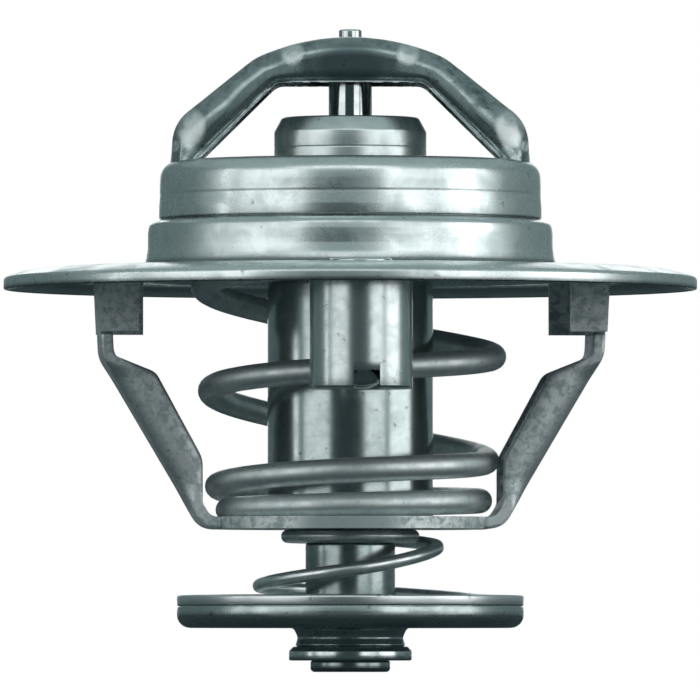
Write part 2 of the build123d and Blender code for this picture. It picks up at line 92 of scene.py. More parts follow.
def add_piece(name, bm, body, slot, *stands_for):
    """A new smooth piece that rides on a body and takes the place of these nodes."""
    bmesh.ops.recalc_face_normals(bm, faces=bm.faces)
    piece = new_object(name, bm)
    piece.data.shade_smooth()
    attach(piece, body)
    for node in stands_for:
        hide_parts(node)
    return piece


def even_normals(piece):
    """Keeps the large faces of a piece looking flat beside its rounded edges."""
    weighted = piece.modifiers.new("even_normals", "WEIGHTED_NORMAL")
    weighted.weight = 90
    return piece


def smooth_share(share):
    """A share from 0 to 1 that starts and ends gently."""
    share = min(max(share, 0.0), 1.0)
    return share * share * (3 - 2 * share)


def eased_corners(corners, closed=True):
    """A line through (x, y, radius) corners, each turned with an arc of that radius."""
    points = []
    for index, (x, y, radius) in enumerate(corners):
        here = Vector((x, y))
        if radius <= 0 or (not closed and index in (0, len(corners) - 1)):
            points.append(here)
            continue
        previous, following = corners[index - 1], corners[(index + 1) % len(corners)]
        before, after = Vector(previous[:2]) - here, Vector(following[:2]) - here
        half = before.angle(after) / 2
        # two arcs on one side share its length by their radii
        room = [
            side.length * 0.98 * radius / (radius + other[2])
            for side, other in ((before, previous), (after, following))
        ]
        reach = min(radius / math.tan(half), *room)
        radius = reach * math.tan(half)
        middle = (before.normalized() + after.normalized()).normalized()
        centre = here + middle * (radius / math.sin(half))
        start = here + before.normalized() * reach - centre
        finish = here + after.normalized() * reach - centre
        turn = math.pi - 2 * half
        steps = max(2, round(turn / ARC_TURN), round(radius * turn / ARC_RUN))
        for step in range(steps + 1):
            angle = turn * step / steps
            arm = (start * math.sin(turn - angle) + finish * math.sin(angle)) / math.sin(turn)
            points.append(centre + arm)
    return points


def filled(points):
    """The same closed line with extra points along its longer runs."""
    result = []
    for first, second in zip(points, points[1:] + points[:1]):
        runs = max(1, math.ceil((second - first).length / LONGEST_RUN))
        result.extend(first.lerp(second, step / runs) for step in range(runs))
    return result


def even_line(points, count):
    """Points at even steps along a line."""
    lengths = [0.0]
    for first, second in zip(points, points[1:]):
        lengths.append(lengths[-1] + (second - first).length)
    result, index = [], 0
    for step in range(count):
        wanted = lengths[-1] * step / (count - 1)
        while index < len(points) - 2 and lengths[index + 1] < wanted:
            index += 1
        span = lengths[index + 1] - lengths[index]
        share = (wanted - lengths[index]) / span if span else 0
        result.append(points[index].lerp(points[index + 1], share))
    return result


def lathe(profile, sides=192, axis=(0.0, 0.0)):
    """A closed half section of (radius, height, corner radius) turned about an upright axis."""
    bm = bmesh.new()
    rings = []
    for point in filled(eased_corners(profile)):
        if point.x < 1e-4:
            rings.append([bm.verts.new((axis[0] * MM, axis[1] * MM, point.y * MM))])
            continue
        ring = []
        for side in range(sides):
            angle = 2 * math.pi * side / sides
            x, y = axis[0] + point.x * math.cos(angle), axis[1] + point.x * math.sin(angle)
            ring.append(bm.verts.new((x * MM, y * MM, point.y * MM)))
        rings.append(ring)
    for first, second in zip(rings, rings[1:] + rings[:1]):
        if len(first) == 1 and len(second) == 1:
            continue
        for side in range(sides):
            after = (side + 1) % sides
            corners = [
                first[side % len(first)], first[after % len(first)],
                second[after % len(second)], second[side % len(second)],
            ]
            bm.faces.new(list(dict.fromkeys(corners)))
    return bm


def join_rings(bm, rings):
    """Faces between each ring of points and the next."""
    for first, second in zip(rings, rings[1:]):
        for index, here in enumerate(first):
            after = (index + 1) % len(first)
            bm.faces.new((here, first[after], second[after], second[index]))


def add_box(bm, size, middle):
    """Adds a box of this size in mm round this middle."""
    made = bmesh.ops.create_cube(bm, size=1.0)["verts"]
    bmesh.ops.scale(bm, verts=made, vec=tuple(length * MM for length in size))
    bmesh.ops.translate(bm, verts=made, vec=tuple(part * MM for part in middle))


def turn_upright(bm, verts, angle):
    """Turns points about the part's upright axis."""
    bmesh.ops.rotate(bm, verts=verts, cent=(0, 0, 0), matrix=Matrix.Rotation(angle, 3, "Z"))


def cut(piece, name, bm):
    """Takes the space of this bmesh out of a piece."""
    bmesh.ops.recalc_face_normals(bm, faces=bm.faces)
    cutter = new_object(name, bm)
    change = piece.modifiers.new("cut", "BOOLEAN")
    change.object = cutter
    change.operation = "DIFFERENCE"
    change.solver = "EXACT"
    evaluated = piece.evaluated_get(bpy.context.evaluated_depsgraph_get())
    mesh = bpy.data.meshes.new_from_object(evaluated)
    piece.modifiers.clear()
    piece.data = mesh
    spare = cutter.data
    bpy.data.objects.remove(cutter)
    bpy.data.meshes.remove(spare)
    return piece


def bevel(bm, edges, width, segments):
    """Eases these edges by this width in mm."""
    bmesh.ops.bevel(
        bm, geom=edges, offset=width * MM, segments=segments, profile=0.5, affect="EDGES",
        clamp_overlap=True,
    )


# ---------------------------------------------------------------- upper frame

def flange_fall(height):
    """The gentle curve from the flat of the flange out to its rim."""
    curve = ((RIM - FLAT) ** 2 + UNDER**2) / (2 * UNDER)
    line = []
    for step in range(1, 8):
        reach = (RIM - FLAT) * step / 8
        line.append((FLAT + reach, height - curve + math.sqrt(curve**2 - reach**2), 0))
    return line


def flange_and_dome():
    """The pressed flange and stepped dome, with the press tool's faint rings and turned edges."""
    inner_neck, inner_dome, inner_drop = NECK - SHEET, DOME - SHEET, 0.7
    profile = [
        (MOUTH, DOME_TOP, 0.3),
        (NECK - 0.11, DOME_TOP, 1.9), (NECK - 0.01, 10.3, 0.6),
        (NECK, 9.35, 0.3), (NECK - 0.025, 9.12, 0.2), (NECK, 8.9, 0.3), (NECK + 0.07, 7.9, 0.5),
        (NECK + 0.07, 6.97, 0.06), (NECK - 0.13, 6.83, 0.05), (NECK + 0.14, 6.7, 0.1),
        (DOME - 0.12, 6.33, 0.6), (DOME, 5.5, 0.7), (DOME + 0.01, 4.1, 0.6),
        (DOME + 0.12, 3.3, 0.6), (DOME + 0.4, TOP, 0.9),
        (FLAT, TOP, 0),
        *flange_fall(TOP),
        (RIM, TOP - UNDER, 0.45),
        (RIM, 0.0, 0.15),
        *reversed(flange_fall(UNDER)),
        (FLAT, UNDER, 0),
        (inner_dome, UNDER, 2.2),
        (inner_dome, STEP - inner_drop, 0.3),
        (inner_neck, STEP_TOP - inner_drop, 0.5),
        (inner_neck, LEDGE, 0.6),
        (MOUTH, LEDGE, 0.15),
    ]
    piece = add_piece(
        "flange_and_dome", lathe(profile, 256), "frame", "pressed_steel", "upper_frame"
    )
    hole = lathe([(0, -1, 0), (VENT_HOLE, -1, 0), (VENT_HOLE, 4, 0), (0, 4, 0)], 48, VENT_AXIS)
    return cut(piece, "vent_hole", hole)


def channel_section(depth, sheet, corner, set_back):
    """(across, deep) points round a channel of bent sheet, first outside and then inside.

    Its lips curl inwards a little, and its flanks are set back most at the top. The places that
    come second are those of the lips' edges among the points.
    """
    half = CHANNEL_HALF
    curl = min(0.3, (depth - sheet) * 0.2)
    flank = depth - 2.2 * curl
    corner = min(corner, flank - 0.05)
    outside = [(half - curl, depth), (half - curl * 0.35, depth - curl), (half, flank)]
    outside += [(half, flank + (corner - flank) * share) for share in (0.35, 0.7, 0.92)]
    for degrees in range(0, 91, 15):
        a = math.radians(degrees)
        outside.append((half - corner + corner * math.cos(a), corner - corner * math.sin(a)))
    outside = [(y - set_back * math.exp(-((d / 1.7) ** 2)) * y / half, d) for y, d in outside]
    outside += [(half * share, 0.0) for share in (0.5, 0.25, 0.0)]
    outside += [(-y, d) for y, d in reversed(outside[:-1])]
    inner_half = half - sheet
    inner_corner = max(corner - sheet, 0.1)
    shoulder = min(sheet + inner_corner, depth)
    inside = [
        (inner_half, depth), (inner_half, (depth + shoulder) / 2), (inner_half, shoulder),
        (inner_half - inner_corner, sheet),
    ]
    inside = [(-y, d) for y, d in inside] + [(0.0, sheet)] + inside[::-1]
    return outside + inside, (0, len(outside) - 1, len(outside), -1)


def bent_channel(outer, inner, sheet, corner_at, set_back_at=None, limit=None):
    """A channel along matching outer and inner (x, z) lines, open inwards, its lips eased.

    corner_at gives the radius of its bends at a place and depth, set_back_at how far its flanks
    are pressed in at a place, and limit the radius about the upright axis that it stays inside.
    """
    bm = bmesh.new()
    rings = []
    for top, low in zip(outer, inner):
        down = low - top
        depth = down.length
        down.normalize()
        set_back = set_back_at(top) if set_back_at else 0.0
        section, lip_places = channel_section(depth, sheet, corner_at(top, depth), set_back)
        ring = []
        for y, d in section:
            place = top + down * d
            x = place.x
            if limit is not None and math.hypot(x, y) > limit:
                x = math.copysign(math.sqrt(limit**2 - y**2), x)
            ring.append(bm.verts.new((x * MM, y * MM, place.y * MM)))
        rings.append(ring)
    join_rings(bm, rings)
    lips = [
        bm.edges.get((first[place], second[place]))
        for first, second in zip(rings, rings[1:])
        for place in lip_places
    ]
    bevel(bm, lips, 0.15, 2)
    bmesh.ops.holes_fill(bm, edges=[e for e in bm.edges if e.is_boundary], sides=0)
    return bm


def bridge():
    """The channel bridge over the dome, nearly flat on top and well rounded at its elbows."""
    top_radius, top_half, elbow_radius = 21.7, 9.2, 8.0
    top_steps, arm_steps = 24, 44
    arc = math.asin(top_half / top_radius)
    top_line = []
    for step in range(17):
        angle = arc * step / 16
        drop = top_radius * (1 - math.cos(angle))
        top_line.append((top_radius * math.sin(angle), BRIDGE_TOP - drop, 0))
    elbow = top_line.pop()[:2]
    window_corner = (WINDOW_HALF, WINDOW_TOP)
    foot_height = LEDGE + 0.2
    outer_half = eased_corners(
        [
            *top_line, (*elbow, elbow_radius), (FOOT - 0.45, DOME_TOP + 3.65, 4.0),
            (FOOT, foot_height, 0),
        ],
        closed=False,
    )
    inner_half = eased_corners(
        [(0, WINDOW_TOP, 0), (*window_corner, 1.5), (MOUTH, DOME_TOP, 0), (MOUTH, foot_height, 0)],
        closed=False,
    )

    def whole_line(points, corner):
        """Even steps up to the corner and on from it, on both sides of the middle."""
        nearest = min(range(len(points)), key=lambda i: (points[i] - Vector(corner)).length)
        line = even_line(points[: nearest + 1], top_steps)
        line += even_line(points[nearest:], arm_steps)[1:]
        return [Vector((-p.x, p.y)) for p in reversed(line[1:])] + line

    def corner_at(top, depth):
        return 1.7 + 1.1 * smooth_share((abs(top.x) - 11) / 5)

    def set_back_at(top):
        out = abs(top.x)
        return 0.42 * smooth_share((out - 4.9) / 1.1) * smooth_share((15.5 - out) / 2.5)

    outer, inner = whole_line(outer_half, elbow), whole_line(inner_half, window_corner)
    bm = bent_channel(outer, inner, SHEET, corner_at, set_back_at, FOOT)
    return even_normals(add_piece("channel_bridge", bm, "frame", "pressed_steel", "upper_frame"))


# ---------------------------------------------------------------- springs

def drawn_wire(path, wire_radius, low_z, high_z, sides=20):
    """A round wire along path, its ends closed and its outside ground flat at low_z and high_z."""
    bm = bmesh.new()
    rings = []
    for index, point in enumerate(path):
        ahead = path[min(index + 1, len(path) - 1)] - path[max(index - 1, 0)]
        ahead.normalize()
        outward = Vector((point.x, point.y, 0)).normalized()
        upward = outward.cross(ahead).normalized()
        outward = ahead.cross(upward)
        ring = []
        for side in range(sides):
            angle = 2 * math.pi * side / sides
            corner = point + wire_radius * (math.cos(angle) * outward + math.sin(angle) * upward)
            corner.z = min(max(corner.z, low_z), high_z)
            ring.append(bm.verts.new(corner * MM))
        rings.append(ring)
    join_rings(bm, rings)
    for end in (list(reversed(rings[0])), rings[-1]):
        bm.faces.new(end).smooth = False
    return bm


def main_spring():
    """The main spring: closed, ground ends, and free coils that widen upwards and lean."""
    wire_radius, turns, closed, ramp = 1.2, 4.75, 0.75, 0.75
    first_bearing, low_radius, widening, widening_turns = math.radians(194), 12.2, 2.05, 3
    lean_x, lean_y = 0.85, 0.2
    low_z, high_z = STRAP_TOP + 0.65, VALVE_UNDER - 0.65
    end_pitch = 2.0
    ends = closed + ramp
    end_rise = (2 * closed + ramp) * end_pitch
    free_pitch = (high_z - low_z - end_rise) / (ramp + turns - 2 * ends)

    def rise(turn):
        """The height above an end, its pitch growing evenly along the ramp."""
        ramped = min(max(turn - closed, 0), ramp)
        past = max(turn - ends, 0)
        growth = (free_pitch - end_pitch) * ramped**2 / (2 * ramp)
        return end_pitch * (turn - past) + growth + free_pitch * past

    path = []
    count = round(turns * 72)
    for step in range(count + 1):
        turn = turns * step / count
        angle = first_bearing + 2 * math.pi * turn
        radius = low_radius + widening * min(turn / widening_turns, 1)
        height = low_z + rise(turn) if turn < turns / 2 else high_z - rise(turns - turn)
        freedom = smooth_share((turn - closed) / ramp)
        freedom *= smooth_share((turns - turn - closed) / ramp)
        height -= freedom * (lean_x * math.cos(angle) + lean_y * math.sin(angle))
        path.append(Vector((radius * math.cos(angle), radius * math.sin(angle), height)))
    low_z, high_z = STRAP_TOP + REST_CLEARANCE, VALVE_UNDER - REST_CLEARANCE
    wire = drawn_wire(path, wire_radius, low_z, high_z)
    spring = add_piece("coiled_main_spring", wire, "frame", "spring_steel", "main_spring")
    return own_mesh(spring)


def bypass_spring():
    """The conical spring between the cup's neck and the disc."""
    wire_radius, high_z, low_z = 0.65, -23.75, -30.95
    upper, lower, turns, first_turn = 6.05, 14.6, 3.0, 0.1
    # turns from the top, and the shares of the widening and of the drop that are done there
    stations = (
        (0.0, 0.0, 0.0), (0.6, 0.0, 0.0), (0.85, 0.064, 0.014), (1.1, 0.275, 0.139),
        (1.35, 0.31, 0.451), (1.6, 0.322, 0.66), (1.85, 0.556, 0.73), (2.1, 0.86, 0.88),
        (2.35, 0.977, 0.965), (2.6, 1.0, 1.0), (turns, 1.0, 1.0),
    )

    def rate(index, column):
        """How fast a share changes at a station, so that it never goes back."""
        if index in (0, len(stations) - 1):
            return 0.0
        before, here, after = stations[index - 1 : index + 2]
        first = (here[column] - before[column]) / (here[0] - before[0])
        second = (after[column] - here[column]) / (after[0] - here[0])
        return 2 * first * second / (first + second) if first * second > 0 else 0.0

    def share_at(turn, column):
        """The share between two stations, on a smooth curve with their rates."""
        later = max(next(i for i, s in enumerate(stations) if turn <= s[0] + 1e-9), 1)
        start, end = stations[later - 1], stations[later]
        length = end[0] - start[0]
        along = (turn - start[0]) / length
        share = start[column] + (end[column] - start[column]) * smooth_share(along)
        share += rate(later - 1, column) * length * along * (1 - along) ** 2
        return share - rate(later, column) * length * along**2 * (1 - along)

    path = []
    for step in range(217):
        turn = turns * step / 216
        angle = 2 * math.pi * (first_turn - turn)
        radius = upper + (lower - upper) * share_at(turn, 1)
        height = high_z + (low_z - high_z) * share_at(turn, 2)
        path.append(Vector((radius * math.cos(angle), radius * math.sin(angle), height)))
    wire = drawn_wire(path, wire_radius, low_z - wire_radius, high_z + wire_radius)
    spring = add_piece("coiled_bypass_spring", wire, "element", "spring_steel", "bypass_spring")
    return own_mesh(spring)


# ---------------------------------------------------------------- lower bracket

def bracket_arms():
    """The two arms, their sides rolled inwards over a generous bend that fades at both ends."""
    line = eased_corners(
        [(*HEAD, 0), (*KNEE, 3.0), (*CORNER, 2.2), (0, CORNER[1], 0)], closed=False
    )
    line = [
        point for point in even_line(line, 130)
        if point.y < ARM_TOP - 0.05 and point.x > ARM_FOOT + 0.05
    ]
    slant = (HEAD[0] - KNEE[0]) / (HEAD[1] - KNEE[1])
    start = Vector((KNEE[0] + (ARM_TOP - KNEE[1]) * slant, ARM_TOP))
    line = [start, *line, Vector((ARM_FOOT, CORNER[1]))]
    side_edge = eased_corners(
        [
            (23.75, -6.12, 0), (19.0, -8.02, 1.4), (14.5, -16.32, 2.5), (14.5, -20.6, 0),
            (15.0, -21.52, 0),
        ],
        closed=False,
    )
    outer, inner = [], []
    for index, here in enumerate(line):
        ahead = line[min(index + 1, len(line) - 1)] - line[max(index - 1, 0)]
        ahead.normalize()
        inward = Vector((ahead.y, -ahead.x))
        depth = BRACKET_SHEET
        for first, second in zip(side_edge, side_edge[1:]):
            meeting = geometry.intersect_line_line_2d(here, here + inward * 9, first, second)
            if meeting:
                depth = max(depth, (meeting - here).length)
        outer.append(here)
        inner.append(here + inward * depth)

    def corner_at(top, depth):
        return min(2.1, 0.3 + 1.2 * (depth - BRACKET_SHEET))

    arms = bent_channel(outer, inner, BRACKET_SHEET, corner_at)
    turn_upright(arms, arms.verts, BRACKET_TURN)
    other = bmesh.ops.duplicate(arms, geom=arms.verts[:] + arms.edges[:] + arms.faces[:])["geom"]
    turn_upright(arms, [part for part in other if isinstance(part, bmesh.types.BMVert)], math.pi)
    return even_normals(
        add_piece("rolled_bracket_arms", arms, "frame", "bracket_steel", "lower_bracket")
    )


def bracket_heads_and_strap():
    """The node's own heads and strap, their edges eased, with the plain arms taken out."""
    weld, ease, arm_height = 2e-6, 0.14, 19.25
    bm = bmesh.new()
    bm.from_mesh(nodes["lower_bracket"].data)
    bmesh.ops.remove_doubles(bm, verts=bm.verts, dist=weld)
    bmesh.ops.dissolve_degenerate(bm, edges=bm.edges, dist=weld)
    flat = math.radians(0.4)
    bmesh.ops.dissolve_limit(bm, angle_limit=flat, verts=bm.verts, edges=bm.edges)
    square = math.radians(28)
    edges = [e for e in bm.edges if len(e.link_faces) == 2 and e.calc_face_angle(0) > square]
    bevel(bm, edges, ease, 2)
    piece = add_piece("eased_lower_bracket", bm, "frame", "bracket_steel", "lower_bracket")
    space = bmesh.new()
    for side in (1, -1):
        middle = (side * (ARM_FOOT + 15), 0, ARM_TOP - arm_height / 2)
        add_box(space, (30, 12.4, arm_height), middle)
    turn_upright(space, space.verts, BRACKET_TURN)
    return even_normals(cut(piece, "arm_space", space))


# ---------------------------------------------------------------- turned and drawn pieces

def piston():
    """The ground pin, its tenon riveted through the bridge and its lower end tapered."""
    radius, tenon, foot, top = 2.1, 1.1, -12.09, 25.23
    profile = [
        (0, foot, 0), (1.2, foot, 0.3), (radius, foot + 6.0, 1.0), (radius, PISTON_SHOULDER, 0.1),
        (tenon, PISTON_SHOULDER, 0.05), (tenon, top, 0.2), (0, top, 0),
    ]
    return add_piece("ground_piston", lathe(profile, 96), "frame", "ground_steel", "piston")


def wax_cup():
    """The turned cup with its crimped rim and the neck for the bypass spring."""
    bore, outside, neck, rim, floor_top, foot = 7.2, 8.0, 5.3, 9.6, -21.4, -23.1
    profile = [
        (bore, floor_top, 0.3), (bore, 7.28, 0.1), (BOSS, 7.28, 0.1), (BOSS, BOSS_TOP, 0.1),
        (GUIDE, BOSS_TOP, 0.05), (GUIDE, 10.28, 0.1), (rim, 10.28, 0.6), (rim, 6.68, 0.35),
        (outside, 6.68, 0.2), (outside, foot, 0.4), (neck, foot, 0.2), (neck, CUP_FOOT, 0.15),
        (TENON, CUP_FOOT, 0.05), (TENON, STEM_TOP, 0.05), (0, STEM_TOP, 0), (0, floor_top, 0),
    ]
    return add_piece("turned_wax_cup", lathe(profile), "element", "plated_brass", "wax_cup")


def element_guide():
    """The boss that guides the piston, with a fine tool line round it."""
    profile = [
        (PISTON_BORE, 9.18, 0.05), (WIPER, 9.18, 0.05), (WIPER, BOSS_UNDER, 0.05),
        (BOSS, BOSS_UNDER, 0.1), (BOSS, BOSS_TOP, 0.1), (GUIDE, BOSS_TOP, 0.05),
        (GUIDE, 13.60, 0.1), (GUIDE - 0.03, 13.72, 0.06), (GUIDE, 13.84, 0.1),
        (GUIDE, 15.29, 0.4), (6.6, 16.71, 0.4), (PISTON_BORE, 16.71, 0.2),
        (PISTON_BORE, 14.21, 0.05), (WIPER, 14.21, 0.05), (WIPER, 13.11, 0.05),
        (PISTON_BORE, 13.11, 0.05),
    ]
    return add_piece(
        "turned_guide_boss", lathe(profile), "element", "plated_brass", "element_guide"
    )


def main_valve():
    """The dished valve disc with its drawn hub and soft turned-down corners."""
    hub, dish, rim, low, high = 8.05, 12.65, 16.35, 5.68, VALVE_UNDER
    profile = [
        (hub, low, 0.1), (dish, low, 0.7), (dish, high, 0.5), (rim, high, 0.15),
        (rim, high + 1.0, 0.3), (dish - 1.0, high + 1.0, 0.8), (dish - 1.0, low + 1.0, 0.4),
        (hub, low + 1.0, 0.1),
    ]
    return add_piece("dished_main_valve", lathe(profile), "element", "pressed_steel", "main_valve")


def bypass_stem():
    """The turned stem below the cup, its lower end riveted over."""
    radius, head = 4.33, 3.85
    profile = [
        (0, STEM_TOP, 0), (TENON, STEM_TOP, 0.1), (TENON, CUP_FOOT, 0.05), (radius, CUP_FOOT, 0.25),
        (radius, KEEPER_TOP, 0.1), (TENON, KEEPER_TOP, 0.05), (TENON, KEEPER_UNDER, 0.05),
        (head, KEEPER_UNDER, 0.2), (head, STEM_FOOT, 0.4), (0, STEM_FOOT, 0),
    ]
    return add_piece(
        "turned_bypass_stem", lathe(profile, 128), "element", "plated_brass", "bypass_stem"
    )


def bypass_keeper():
    """The bevelled washer that holds the bypass disc on."""
    profile = [
        (TENON, KEEPER_UNDER, 0.05), (5.95, KEEPER_UNDER, 0.25), (5.95, -34.8, 0.3),
        (5.55, KEEPER_TOP, 0.1), (TENON, KEEPER_TOP, 0.05),
    ]
    return add_piece(
        "bevelled_keeper", lathe(profile, 144), "element", "pressed_steel", "bypass_keeper"
    )


def bypass_disc():
    """The dish: a plain lip, a scored line, a wall with a soft lower corner, and a drawn collar."""
    bore, radius, under, lip = 4.38, 16.77, -32.6, -29.4
    profile = [
        (bore, KEEPER_TOP, 0.1), (5.35, KEEPER_TOP, 0.25), (5.07, -33.5, 0.7), (5.5, under, 0.5),
        (radius, under, 1.9), (radius - 0.02, -31.0, 0.4), (radius - 0.08, -30.6, 0.1),
        (radius - 0.16, -30.5, 0.04), (radius - 0.04, -30.38, 0.08), (radius, lip, 0.3),
        (radius - 1.0, lip, 0.3), (radius - 1.0, under + 1.0, 0.9), (bore, under + 1.0, 0.2),
    ]
    return add_piece(
        "dished_bypass_disc", lathe(profile, 224), "bypass", "pressed_steel", "bypass_disc"
    )


def vent_cage():
    """The vent's cage, riveted over the flange and notched at its foot."""
    outside, inside, mouth, bore, rivet, foot = 4.88, 4.08, 2.1, 1.5, 3.0, -10.0
    profile = [
        (mouth, foot, 0.15), (outside, foot, 0.3), (outside, UNDER, 0.15),
        (VENT_HOLE, UNDER, 0.05), (VENT_HOLE, TOP, 0.05), (rivet, TOP, 0.05), (rivet, 2.43, 0.25),
        (bore, 2.43, 0.12), (bore, 0.08, 0.1), (inside, 0.08, 0.3), (inside, -9.2, 0.3),
        (mouth, -9.2, 0.15),
    ]
    body = lathe(profile, 144, VENT_AXIS)
    cage = add_piece("vent_cage_body", body, "frame", "plated_brass", "vent_cage")
    notch = bmesh.new()
    middle = (VENT_AXIS[0] + 0.55, VENT_AXIS[1] - 3.465, -9.625)
    add_box(notch, (2.5, 4.83, 2.75), middle)
    bevel(notch, notch.edges[:], 0.25, 3)
    cut(cage, "vent_notch", notch)
    eased = cage.modifiers.new("eased_notch", "BEVEL")
    eased.width = 0.08 * MM
    eased.segments = 2
    eased.angle_limit = math.radians(50)
    return even_normals(cage)


pieces = {
    piece.name: piece
    for piece in (
        flange_and_dome(), bridge(), main_spring(), bypass_spring(), bracket_arms(),
        bracket_heads_and_strap(), piston(), wax_cup(), element_guide(), main_valve(),
        bypass_stem(), bypass_keeper(), bypass_disc(), vent_cage(),
    )
}


# ---------------------------------------------------------------- effects

class Wiring:
    """Adds nodes to one tree and links them."""

    def __init__(self, tree):
        self.tree = tree

    def put(self, value, socket):
        """Links a socket's value, or sets a plain one."""
        if isinstance(value, bpy.types.NodeSocket):
            self.tree.links.new(value, socket)
        else:
            socket.default_value = value

    def fill(self, node, inputs):
        """Gives sockets their values, by name with _ for a space, or by place as i0, i1 and on."""
        for name, value in inputs.items():
            by_place = name[0] == "i" and name[1:].isdigit()
            self.put(value, node.inputs[int(name[1:]) if by_place else name.replace("_", " ")])

    def add(self, kind, **inputs):
        node = self.tree.nodes.new(kind)
        self.fill(node, inputs)
        return node

    def effect(self, group, **inputs):
        """Places a shared effect with its own values, and gives its outputs."""
        node = self.tree.nodes.new("ShaderNodeGroup")
        node.node_tree = group
        self.fill(node, inputs)
        return node.outputs

    def maths(self, operation, first, second=0.0, clamp=False):
        node = self.add("ShaderNodeMath", i0=first, i1=second)
        node.operation = operation
        node.use_clamp = clamp
        return node.outputs[0]

    def plus(self, first, second):
        return self.maths("ADD", first, second)

    def minus(self, first, second, clamp=False):
        return self.maths("SUBTRACT", first, second, clamp)

    def times(self, first, second):
        return self.maths("MULTIPLY", first, second)

    def over(self, first, second):
        return self.maths("DIVIDE", first, second)

    def larger(self, first, second):
        return self.maths("MAXIMUM", first, second)

    def squares(self, first, second):
        return self.plus(self.times(first, first), self.times(second, second))

    def distance(self, across, up):
        """How far a point lies from where both numbers are nothing."""
        return self.maths("SQRT", self.squares(across, up))

    def ranged(self, value, low, high, to_low=0.0, to_high=1.0, smooth=False):
        node = self.tree.nodes.new("ShaderNodeMapRange")
        node.interpolation_type = "SMOOTHSTEP" if smooth else "LINEAR"
        for socket, given in zip(node.inputs, (value, low, high, to_low, to_high)):
            self.put(given, socket)
        return node.outputs[0]

    def mixed(self, share, first, second):
        """Two colours mixed, each a socket or plain red, green and blue."""
        node = self.tree.nodes.new("ShaderNodeMix")
        node.data_type = "RGBA"
        self.put(share, node.inputs["Factor"])
        for colour, socket in ((first, node.inputs[6]), (second, node.inputs[7])):
            self.put(colour if isinstance(colour, bpy.types.NodeSocket) else (*colour, 1), socket)
        return node.outputs[2]

    def noise(self, vector, scale, detail=3.0, roughness=0.5, distortion=0.0):
        return self.add(
            "ShaderNodeTexNoise", Vector=vector, Scale=scale, Detail=detail, Roughness=roughness,
            Distortion=distortion,
        ).outputs["Fac"]

    def vector(self, x, y, z):
        return self.add("ShaderNodeCombineXYZ", X=x, Y=y, Z=z).outputs[0]

    def millimetres(self):
        """The piece's own coordinates, in millimetres."""
        place = self.add("ShaderNodeTexCoord").outputs["Object"]
        scaled = self.tree.nodes.new("ShaderNodeVectorMath")
        scaled.operation = "SCALE"
        self.put(place, scaled.inputs[0])
        self.put(1 / MM, scaled.inputs["Scale"])
        return scaled.outputs[0]

    def place(self):
        """The same coordinates as X, Y and Z."""
        return self.add("ShaderNodeSeparateXYZ", Vector=self.millimetres()).outputs


def effect_group(name, inputs, outputs):
    """An empty shader group with number inputs (name, value) and number outputs."""
    tree = bpy.data.node_groups.new(name, "ShaderNodeTree")
    for label, value in inputs:
        socket = tree.interface.new_socket(
            name=label, in_out="INPUT", socket_type="NodeSocketFloat"
        )
        socket.default_value = value
    for label in outputs:
        tree.interface.new_socket(name=label, in_out="OUTPUT", socket_type="NodeSocketFloat")
    entry = tree.nodes.new("NodeGroupInput")
    leave = tree.nodes.new("NodeGroupOutput")
    return tree, Wiring(tree), entry.outputs, leave.inputs


def turning_marks():
    """Fine rings round an upright axis, from drawing or turning, and broader bands of tone."""
    tree, wire, given, out = effect_group(
        "turning_marks", [("Axis X", 0.0), ("Axis Y", 0.0), ("Rings per mm", 4.0)],
        ["Height", "Tone"],
    )
    place = wire.place()
    x = wire.minus(place["X"], given["Axis X"])
    y = wire.minus(place["Y"], given["Axis Y"])
    angle = wire.maths("ARCTAN2", y, x)
    round_x, round_y = wire.maths("COSINE", angle), wire.maths("SINE", angle)
    along = wire.plus(place["Z"], wire.distance(x, y))
    rings = wire.vector(round_x, round_y, wire.times(along, given["Rings per mm"]))
    bands = wire.vector(round_x, round_y, wire.times(along, 0.55))
    wire.put(wire.noise(rings, 1.0, 4.0, 0.7), out["Height"])
    wire.put(wire.noise(bands, 1.3, 2.0, 0.5), out["Tone"])
    return tree


def mottled_plating():
    """Soft blotches, finer clouding and sparse dark specks, as plated or pickled steel has."""
    tree, wire, given, out = effect_group(
        "mottled_plating",
        [("Blotch size mm", 2.5), ("Speck size mm", 0.5), ("Speck share", 0.1)],
        ["Blotches", "Clouding", "Specks"],
    )
    place = wire.millimetres()
    wander = wire.add("ShaderNodeTexNoise", Vector=place, Scale=2.2, Detail=3.0)
    shaken = wire.tree.nodes.new("ShaderNodeVectorMath")
    shaken.operation = "MULTIPLY_ADD"
    wire.fill(shaken, {"i0": wander.outputs["Color"], "i1": (1.1, 1.1, 1.1), "i2": place})
    cell_scale = wire.over(1.0, given["Speck size mm"])
    cells = wire.add("ShaderNodeTexVoronoi", Vector=shaken.outputs[0], Scale=cell_scale)
    chosen = wire.add("ShaderNodeSeparateColor", Color=cells.outputs["Color"])
    near = wire.ranged(cells.outputs["Distance"], 0.05, 0.42, 0.8, 0.0, smooth=True)
    kept = wire.maths("LESS_THAN", chosen.outputs[0], given["Speck share"])
    blotch_scale = wire.over(1.0, given["Blotch size mm"])
    wire.put(wire.noise(place, blotch_scale, 4.0, 0.6, 0.4), out["Blotches"])
    wire.put(wire.noise(place, 3.5, 5.0, 0.65), out["Clouding"])
    wire.put(wire.times(near, kept), out["Specks"])
    return tree


def rolled_grain():
    """Fine straight rolling lines in sheet."""
    tree, wire, given, out = effect_group(
        "rolled_grain",
        [("Along X", 0.15), ("Along Y", 1.0), ("Along Z", 1.0), ("Lines per mm", 5.0)],
        ["Height"],
    )
    place = wire.place()
    stretched = wire.vector(*(wire.times(place[way], given["Along " + way]) for way in "XYZ"))
    wire.put(wire.noise(stretched, given["Lines per mm"], 3.0, 0.6, 0.2), out["Height"])
    return tree


